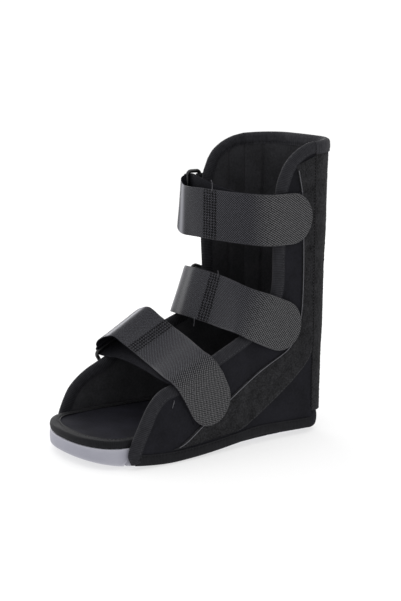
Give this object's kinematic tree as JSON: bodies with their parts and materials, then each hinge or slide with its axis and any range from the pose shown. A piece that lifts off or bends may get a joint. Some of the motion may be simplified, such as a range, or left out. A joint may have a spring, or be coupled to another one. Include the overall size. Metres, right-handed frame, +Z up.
{
  "type": "ankle stabilizer shoe",
  "caption": "Short padded walking boot for a hurt ankle, open at the toe and down the front, with webbing straps through plastic rings and a foam sole.",
  "frame": {"origin": "centre of the sole's flat underside, on the floor, under the arch of the foot", "axes": "+Z up from the floor, -Y towards the toe, +X towards the wearer's left, where the strap tips close"},
  "size_m": [0.1542, 0.2898, 0.2944],
  "materials": {
    "sole": "matte foamed EVA",
    "panel": "smooth brushed knit over foam",
    "pile": "fuzzy loop pile",
    "tape": "flat woven binding tape",
    "webbing": "twill webbing",
    "insole": "matte lining cloth",
    "plastic": "moulded, semi-gloss"
  },
  "bodies": {
    "root": {"left_panel": "panel", "left_edge_binding": "tape", "left_hem_binding": "tape", "right_panel": "panel", "right_edge_binding": "tape", "right_hem_binding": "tape", "back_panel": "pile", "heel_wrap": "panel", "rim_binding": "tape", "loop_strip": "pile", "outsole": "sole", "footbed": "insole", "footbed_binding": "tape", "strap_top": "webbing", "ring_top": "plastic", "tab_top": "webbing", "strap_ankle": "webbing", "ring_ankle": "plastic", "tab_ankle": "webbing", "strap_foot": "webbing", "ring_foot": "plastic", "tab_foot": "webbing"}
  },
  "joints": []
}
